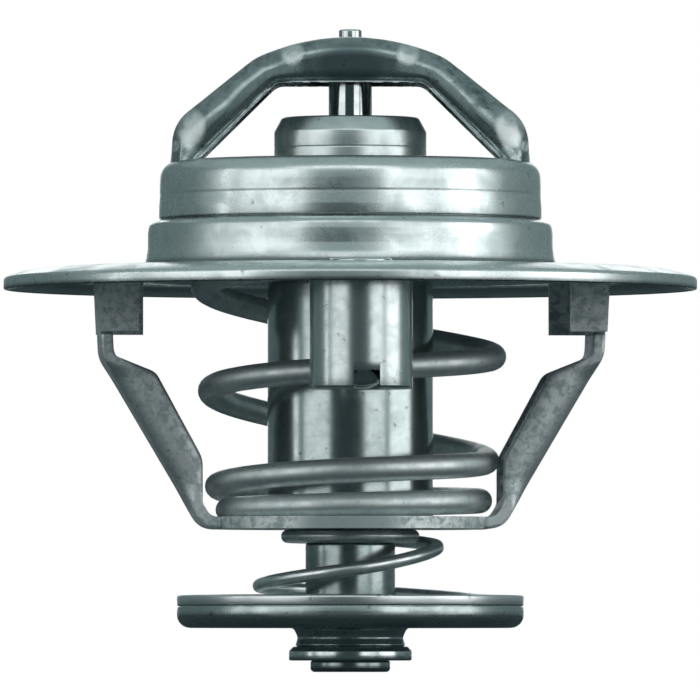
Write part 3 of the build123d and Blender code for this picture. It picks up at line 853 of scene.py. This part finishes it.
def edge_wear():
    """Where edges and bends are rubbed bright, broken up by noise."""
    tree, wire, given, out = effect_group(
        "edge_wear", [("Width mm", 0.4), ("Break up", 0.5)], ["Wear"]
    )
    rounded = wire.add("ShaderNodeBevel", Radius=wire.times(given["Width mm"], MM))
    rounded.samples = 6
    facing = wire.add("ShaderNodeNewGeometry").outputs["Normal"]
    compare = wire.add("ShaderNodeVectorMath", i0=rounded.outputs[0], i1=facing)
    compare.operation = "DOT_PRODUCT"
    turned_away = wire.ranged(compare.outputs["Value"], 0.985, 0.88, 0.0, 1.0)
    patchy = wire.ranged(wire.noise(wire.millimetres(), 1.3, 4.0, 0.7), 0.36, 0.62, 0.0, 1.0)
    whole = wire.minus(1.0, given["Break up"])
    kept = wire.plus(wire.times(patchy, given["Break up"]), whole)
    wire.put(wire.maths("MULTIPLY", turned_away, kept, clamp=True), out["Wear"])
    return tree


TURNING = turning_marks()
MOTTLE = mottled_plating()
GRAIN = rolled_grain()
WEAR = edge_wear()


# ---------------------------------------------------------------- finishes

# bright colour for rubbed wear and for painted highlights
RUBBED_BRIGHT = (0.95, 0.98, 0.98)


def new_material(name):
    """A node material with its wiring and its shader."""
    material = bpy.data.materials.new(name)
    material.use_nodes = True
    return material, Wiring(material.node_tree), material.node_tree.nodes["Principled BSDF"]


def metal(name, anisotropic=0.0):
    material, wire, shader = new_material(name)
    shader.inputs["Metallic"].default_value = 1
    shader.inputs["Anisotropic"].default_value = anisotropic
    return material, wire, shader


def finish_metal(
    wire, shader, clean, dull, roughness, spread, stain, relief, strength, deep,
    specks=None, wear=None, worn=RUBBED_BRIGHT, scuffed=None,
):
    """Joins the masks to colour, roughness and bump.

    stain turns clean to dull and rougher by the spread, specks are darker still, wear is rubbed
    bright and smooth, scuffed is a painted highlight as bright but matt. relief is
    raised by deep, in mm.
    """
    colour = wire.mixed(stain, clean, dull)
    if specks is not None:
        colour = wire.mixed(specks, colour, [part * 0.45 for part in dull])
    rough = wire.plus(roughness - spread / 2, wire.times(stain, spread))
    if wear is not None:
        rough = wire.minus(rough, wire.times(wear, spread), clamp=True)
        if scuffed is not None:
            rough = wire.plus(rough, wire.times(scuffed, 0.3))
            # from here wear also carries the painted highlight, which takes the same bright colour
            wear = wire.larger(wear, scuffed)
        colour = wire.mixed(wear, colour, worn)
    bump = wire.add("ShaderNodeBump", Strength=strength, Distance=deep * MM, Height=relief)
    wire.fill(shader, {"Base Color": colour, "Roughness": rough, "Normal": bump.outputs[0]})


def spot(wire, place, along, height, along_reach, height_reach):
    """A soft oval mask, on both sides of the middle, round a distance out and a height in mm."""
    out = wire.minus(wire.maths("ABSOLUTE", place["X"]), along)
    up = wire.minus(place["Z"], height)
    off = wire.squares(wire.over(out, along_reach), wire.over(up, height_reach))
    return wire.ranged(off, 1.0, 0.25, smooth=True)


def grime(wire, place, mottle, radius, height, reach):
    """A patchy ring of painted shade round the axis, as in a pressed corner, at a radius and height
    in mm.
    """
    out = wire.minus(wire.distance(place["X"], place["Y"]), radius)
    off = wire.distance(out, wire.minus(place["Z"], height))
    ring = wire.ranged(off, reach, reach * 0.35, 0.0, 0.95, smooth=True)
    return wire.times(ring, wire.ranged(mottle["Clouding"], 0.25, 0.5, 0.6, 1.0))


def pressed_steel_finish(
    name, clean, dull, roughness, blotch, speck_share,
    burnished_from=None, handled=False, grimy_corners=(),
):
    """Drawn sheet: rings from the press tool, soft clouding and a few nicks.

    It can be painted lighter above a height in mm, a painted highlight. handled adds
    painted shade to the middle of the bridge's crown and painted highlights, bright but matt, on
    its shoulders and elbows; grimy_corners adds rings of painted shade at a radius, a height and
    a reach in mm.
    """
    material, wire, shader = metal(name, 0.3)
    place = wire.place()
    marks = wire.effect(TURNING, Rings_per_mm=5.0)
    mottle = wire.effect(
        MOTTLE, Blotch_size_mm=blotch, Speck_size_mm=0.8, Speck_share=speck_share
    )
    specks, wear = mottle["Specks"], wire.effect(WEAR, Width_mm=0.35, Break_up=0.5)["Wear"]
    scuffed = None
    stain = wire.times(
        wire.ranged(mottle["Blotches"], 0.34, 0.70, smooth=True),
        wire.ranged(marks["Tone"], 0.28, 0.66, 0.3, 1.0, smooth=True),
    )
    relief = wire.plus(wire.times(marks["Height"], 0.75), wire.times(mottle["Clouding"], 0.3))
    relief = wire.plus(relief, wire.times(mottle["Blotches"], 0.7))
    # painted highlight: above this height the steel is painted lighter, less stained and partly
    # matt
    if burnished_from is not None:
        burnished = wire.ranged(place["Z"], burnished_from, burnished_from + 0.1)
        clean = wire.mixed(burnished, clean, RUBBED_BRIGHT)
        stain = wire.minus(stain, burnished, clamp=True)
        scuffed = wire.times(burnished, 0.25)
    # painted shade in the middle of the bridge's crown, and painted highlights, bright but matt, on
    # its shoulders and elbows
    if handled:
        stain = wire.larger(stain, spot(wire, place, 0.0, 21.5, 4.6, 2.6))
        shoulders = wire.larger(
            spot(wire, place, 5.6, 22.8, 1.3, 1.5), spot(wire, place, 15.4, 15.6, 1.7, 2.2)
        )
        shoulders = wire.larger(shoulders, spot(wire, place, 16.9, 13.8, 0.5, 0.7))
        scuffed = wire.times(shoulders, wire.ranged(mottle["Blotches"], 0.36, 0.6, 0.4, 1.0))
    # painted shade: each ring darkens and speckles the steel and takes away its wear
    for radius, height, reach in grimy_corners:
        dirt = grime(wire, place, mottle, radius, height, reach)
        specks = wire.larger(specks, dirt)
        wear = wire.minus(wear, dirt, clamp=True)
    finish_metal(
        wire, shader, clean, dull, roughness, 0.16, stain, relief, 0.35, 0.02,
        specks, wear, (0.92, 0.96, 0.96), scuffed,
    )
    return material


def bracket_finish():
    """Zinc-plated sheet with a spangled face, painted lighter where the strap bends up (a painted
    highlight) and darker in the strap's middle (painted shade).
    """
    material, wire, shader = metal("zinc_bracket_steel")
    place = wire.place()
    grain = wire.effect(GRAIN, Along_X=0.4, Along_Y=1.0, Along_Z=0.25, Lines_per_mm=4.0)
    mottle = wire.effect(MOTTLE, Blotch_size_mm=0.8, Speck_size_mm=0.5, Speck_share=0.06)
    wear = wire.effect(WEAR, Width_mm=0.25, Break_up=0.5)["Wear"]
    stain = wire.ranged(mottle["Blotches"], 0.38, 0.66, smooth=True)
    # painted shade: the middle of the strap is darker, under the spring and the cup
    stain = wire.larger(stain, spot(wire, place, 0.0, -23.0, 6.0, 6.0))
    # painted highlight: the strap's bends are painted lighter and matt
    bends = wire.times(
        wire.ranged(wire.maths("ABSOLUTE", place["X"]), 12.8, 14.0, smooth=True),
        wire.ranged(place["Z"], -20.4, -21.8, smooth=True),
    )
    bends = wire.times(bends, wire.ranged(mottle["Clouding"], 0.42, 0.52))
    relief = wire.plus(wire.times(grain["Height"], 0.4), mottle["Clouding"])
    finish_metal(
        wire, shader, (0.94, 0.98, 0.98), (0.58, 0.66, 0.67), 0.60, 0.20, stain, relief, 0.6, 0.035,
        mottle["Specks"], wire.times(wear, 0.4), scuffed=bends,
    )
    return material


def spring_finish(name, clean, dull, roughness):
    """Oil-tempered wire with a grey satin skin."""
    material, wire, shader = metal(name)
    mottle = wire.effect(MOTTLE, Blotch_size_mm=1.6, Speck_size_mm=0.4, Speck_share=0.04)
    stain = wire.ranged(mottle["Blotches"], 0.38, 0.66)
    finish_metal(
        wire, shader, clean, dull, roughness, 0.08, stain, mottle["Clouding"], 0.3, 0.015,
        mottle["Specks"],
    )
    return material


def ground_pin_finish():
    """Ground and polished pin."""
    material, wire, shader = metal("ground_pin_steel")
    marks = wire.effect(TURNING, Rings_per_mm=9.0)
    finish_metal(
        wire, shader, (0.80, 0.83, 0.83), (0.62, 0.66, 0.66), 0.10, 0.06,
        wire.ranged(marks["Tone"], 0.35, 0.65), marks["Height"], 0.15, 0.006,
    )
    return material


def plated_finish(name, clean, dull, roughness, rings=3.0, axis=(0.0, 0.0)):
    """Nickel-plated turned brass, with its tool rings showing through."""
    material, wire, shader = metal(name, 0.3)
    marks = wire.effect(TURNING, Axis_X=axis[0], Axis_Y=axis[1], Rings_per_mm=rings)
    mottle = wire.effect(MOTTLE, Blotch_size_mm=2.2, Speck_size_mm=0.6, Speck_share=0.06)
    wear = wire.effect(WEAR, Width_mm=0.3, Break_up=0.5)["Wear"]
    stain = wire.times(
        wire.ranged(mottle["Blotches"], 0.40, 0.70), wire.ranged(marks["Tone"], 0.3, 0.6, 0.4, 1.0)
    )
    finish_metal(
        wire, shader, clean, dull, roughness, 0.06, stain, marks["Height"], 0.3, 0.012,
        mottle["Specks"], wear, (0.84, 0.87, 0.87),
    )
    return material


def soft_finish(name, colour, roughness, lump):
    """Rubber, plastic or wax: a plain body with a fine uneven skin."""
    material, wire, shader = new_material(name)
    mottle = wire.effect(MOTTLE, Blotch_size_mm=1.5, Speck_size_mm=0.4, Speck_share=0.1)
    clouding = mottle["Clouding"]
    darker = [part * 0.7 for part in colour]
    bump = wire.add("ShaderNodeBump", Strength=0.4, Distance=lump * MM, Height=clouding)
    wire.fill(shader, {
        "Base Color": wire.mixed(wire.ranged(mottle["Blotches"], 0.35, 0.7), colour, darker),
        "Roughness": wire.ranged(clouding, 0.2, 0.8, roughness - 0.1, roughness + 0.1),
        "Normal": bump.outputs[0],
    })
    return material


def dress(material, *bare):
    """Gives pieces this material alone."""
    for piece in bare:
        piece.data.materials.clear()
        piece.data.materials.append(material)


# painted shade: rings near the dome's top edge, at its step and its foot, along the rim's lower
# edge and under the flange, each a radius, height and reach in mm
FLANGE_GRIME = (
    (17.1, 12.5, 0.75), (NECK - 0.05, 6.83, 0.3), (DOME + 0.5, 2.2, 0.95),
    (RIM, 0.0, 0.6), (30.0, -0.3, 3.2),
)
dress(
    pressed_steel_finish(
        "drawn_flange_steel", (0.90, 0.96, 0.96), (0.64, 0.72, 0.72), 0.32, 3.2, 0.02,
        grimy_corners=FLANGE_GRIME,
    ),
    pieces["flange_and_dome"], pieces["dished_main_valve"],
)
# painted shade: the bridge is the same pressed steel as the flange, given a much darker copy of its
# finish with painted shade and highlights of its own
dress(
    pressed_steel_finish(
        "shaded_bridge_steel", (0.46, 0.53, 0.53), (0.13, 0.18, 0.19), 0.28, 1.2, 0.08,
        handled=True,
    ),
    pieces["channel_bridge"],
)
# painted highlight: the disc's lip above its scored line is painted lighter
dress(
    pressed_steel_finish(
        "dull_disc_steel", (0.62, 0.69, 0.69), (0.38, 0.45, 0.45), 0.30, 3.0, 0.04,
        burnished_from=-30.45,
    ),
    pieces["dished_bypass_disc"],
)
dress(
    pressed_steel_finish(
        "turned_keeper_steel", (0.80, 0.86, 0.86), (0.60, 0.67, 0.67), 0.24, 2.0, 0.03
    ),
    pieces["bevelled_keeper"],
)
dress(bracket_finish(), pieces["rolled_bracket_arms"], pieces["eased_lower_bracket"])
dress(
    spring_finish("oiled_spring_wire", (0.94, 0.98, 0.98), (0.74, 0.81, 0.82), 0.50),
    pieces["coiled_main_spring"],
)
dress(
    spring_finish("bright_bypass_wire", (0.95, 0.98, 0.98), (0.74, 0.80, 0.80), 0.32),
    pieces["coiled_bypass_spring"],
)
dress(ground_pin_finish(), pieces["ground_piston"], nodes["vent_ball"])
# painted shade: the cup's plating is a darker copy of the guide's, for the shade under the flange
dress(
    plated_finish("shaded_element_brass", (0.54, 0.60, 0.60), (0.40, 0.46, 0.46), 0.20),
    pieces["turned_wax_cup"],
)
# painted shade: the stem's plating is a darker copy, for the shade under the bypass spring and the
# strap
dress(
    plated_finish("shaded_stem_brass", (0.44, 0.50, 0.50), (0.22, 0.27, 0.27), 0.24),
    pieces["turned_bypass_stem"],
)
dress(
    plated_finish("matte_guide_brass", (0.84, 0.90, 0.90), (0.58, 0.66, 0.66), 0.34, rings=4.0),
    pieces["turned_guide_boss"],
)
dress(
    plated_finish(
        "plated_vent_brass", (0.74, 0.80, 0.80), (0.56, 0.62, 0.62), 0.26, axis=VENT_AXIS
    ),
    pieces["vent_cage_body"],
)
dress(
    soft_finish("black_nitrile_rubber", (0.03, 0.03, 0.032), 0.6, 0.03),
    nodes["valve_seal"], nodes["rubber_sleeve"], nodes["piston_wiper"],
)
dress(soft_finish("white_ptfe", (0.75, 0.75, 0.73), 0.45, 0.01), nodes["backup_washer"])
dress(soft_finish("pale_wax", (0.72, 0.66, 0.50), 0.5, 0.05), nodes["wax_charge"])


# ---------------------------------------------------------------- studio, in metres

# the floor lies under the stem's foot as it is when the valve is fully open
FLOOR = (STEM_FOOT - VALVE_LIFT) * MM
CARD_TOP = 0.33


def plain_material(name, colour):
    material, wire, shader = new_material(name)
    wire.fill(shader, {"Base Color": (*colour, 1), "Roughness": 1, "Specular IOR Level": 0})
    return material


def mirrored_only(card, shade):
    """Makes a card of one shade show in reflections and nowhere else."""
    dress(plain_material(card.name, shade), card)
    card.visible_camera = False
    card.visible_diffuse = False
    card.visible_shadow = False


def screen(name, start, end, low, high, shade, radius=0.6):
    """A curved upright card round the object, between two bearings; 0 is towards the front."""
    bm = bmesh.new()
    count = 24
    pairs = []
    for step in range(count + 1):
        bearing = math.radians(start + (end - start) * step / count)
        x, y = radius * math.sin(bearing), -radius * math.cos(bearing)
        pairs.append((bm.verts.new((x, y, low)), bm.verts.new((x, y, high))))
    for (a, b), (c, d) in zip(pairs, pairs[1:]):
        bm.faces.new((a, c, d, b))
    mirrored_only(new_object(name, bm), shade)


def level_screen(name, height, shade):
    """A round level card, below or above the object."""
    bpy.ops.mesh.primitive_circle_add(
        vertices=64, radius=0.61, fill_type="NGON", location=(0, 0, height)
    )
    card = bpy.context.object
    card.name = name
    mirrored_only(card, shade)


def softbox(name, bearing, width, radiance, height=0.09, distance=0.55, tall=0.37):
    """A lit rectangle at a bearing, facing the object."""
    lamp = bpy.data.lights.new(name, "AREA")
    lamp.shape = "RECTANGLE"
    lamp.size, lamp.size_y = width, tall
    lamp.energy = radiance * math.pi * width * tall
    holder = bpy.data.objects.new(name, lamp)
    bpy.context.scene.collection.objects.link(holder)
    angle = math.radians(bearing)
    holder.location = (distance * math.sin(angle), -distance * math.cos(angle), height)
    holder.rotation_euler = (-Vector(holder.location)).to_track_quat("-Z", "Y").to_euler()
    holder.visible_camera = False


FRONT, FRONT_SPLIT, FRONT_RADIUS = (-26, 19), 0.085, 0.58
screen("front_screen", *FRONT, FLOOR, FRONT_SPLIT, (0.035, 0.055, 0.06), FRONT_RADIUS)
screen("front_upper_screen", *FRONT, FRONT_SPLIT, CARD_TOP, (0.24, 0.31, 0.315), FRONT_RADIUS)
screen("right_screen", 0, 180, FLOOR, CARD_TOP, (0.17, 0.225, 0.23))
screen("left_screen", 180, 360, FLOOR, CARD_TOP, (0.13, 0.18, 0.185))
level_screen("low_screen", FLOOR + 0.3 * MM, (0.04, 0.06, 0.065))
level_screen("ceiling_screen", CARD_TOP, (0.29, 0.365, 0.37))
softbox("back_window", 180, 0.26, 1.2)
softbox("upper_window", -4, 0.5, 0.75, height=0.29, distance=0.36, tall=0.15)
softbox("left_window", -48, 0.42, 0.9)
softbox("left_far_window", -81, 0.07, 1.5)
softbox("right_window", 34.5, 0.295, 1.08)
softbox("right_far_window", 74, 0.36, 1.4)

camera_data = bpy.data.cameras.new("camera")
camera_data.lens = 692
camera_data.clip_end = 10
camera = bpy.data.objects.new("camera", camera_data)
bpy.context.scene.collection.objects.link(camera)
tilt, view_distance = math.radians(-1.3), 1.3
aim = Vector((-0.03 * MM, 0, -5.75 * MM))
camera.location = aim + view_distance * Vector((0, -math.cos(tilt), math.sin(tilt)))
camera.rotation_euler = (aim - camera.location).to_track_quat("-Z", "Y").to_euler()
scene = bpy.context.scene
scene.camera = camera
scene.view_settings.view_transform = "Standard"


def seen_straight(wire):
    """1 where something is seen directly, in a mirror or through a clear piece."""
    path = wire.add("ShaderNodeLightPath").outputs
    seen = wire.larger(path["Is Camera Ray"], path["Is Glossy Ray"])
    return wire.larger(seen, path["Is Transmission Ray"])


world = bpy.data.worlds.new("studio")
scene.world = world
world.use_nodes = True
world.node_tree.nodes.clear()
wire = Wiring(world.node_tree)
lit = wire.add("ShaderNodeBackground", Color=(0.7, 0.7, 0.7, 1)).outputs[0]
white = wire.add("ShaderNodeBackground", Color=(1, 1, 1, 1)).outputs[0]
both = wire.add("ShaderNodeMixShader", Fac=seen_straight(wire), i1=lit, i2=white)
wire.add("ShaderNodeOutputWorld", Surface=both.outputs[0])

bpy.ops.mesh.primitive_plane_add(size=6, location=(0, 0, FLOOR))
floor = bpy.context.object
floor.name = "floor"
pale = plain_material("pale_floor", (0.9, 0.9, 0.9))
wire = Wiring(pale.node_tree)
matt = pale.node_tree.nodes["Principled BSDF"].outputs[0]
white = wire.add("ShaderNodeEmission", Color=(1, 1, 1, 1), Strength=1.06).outputs[0]
whitened = wire.times(seen_straight(wire), 0.9)
both = wire.add("ShaderNodeMixShader", Fac=whitened, i1=matt, i2=white)
wire.put(both.outputs[0], pale.node_tree.nodes["Material Output"].inputs["Surface"])
dress(pale, floor)
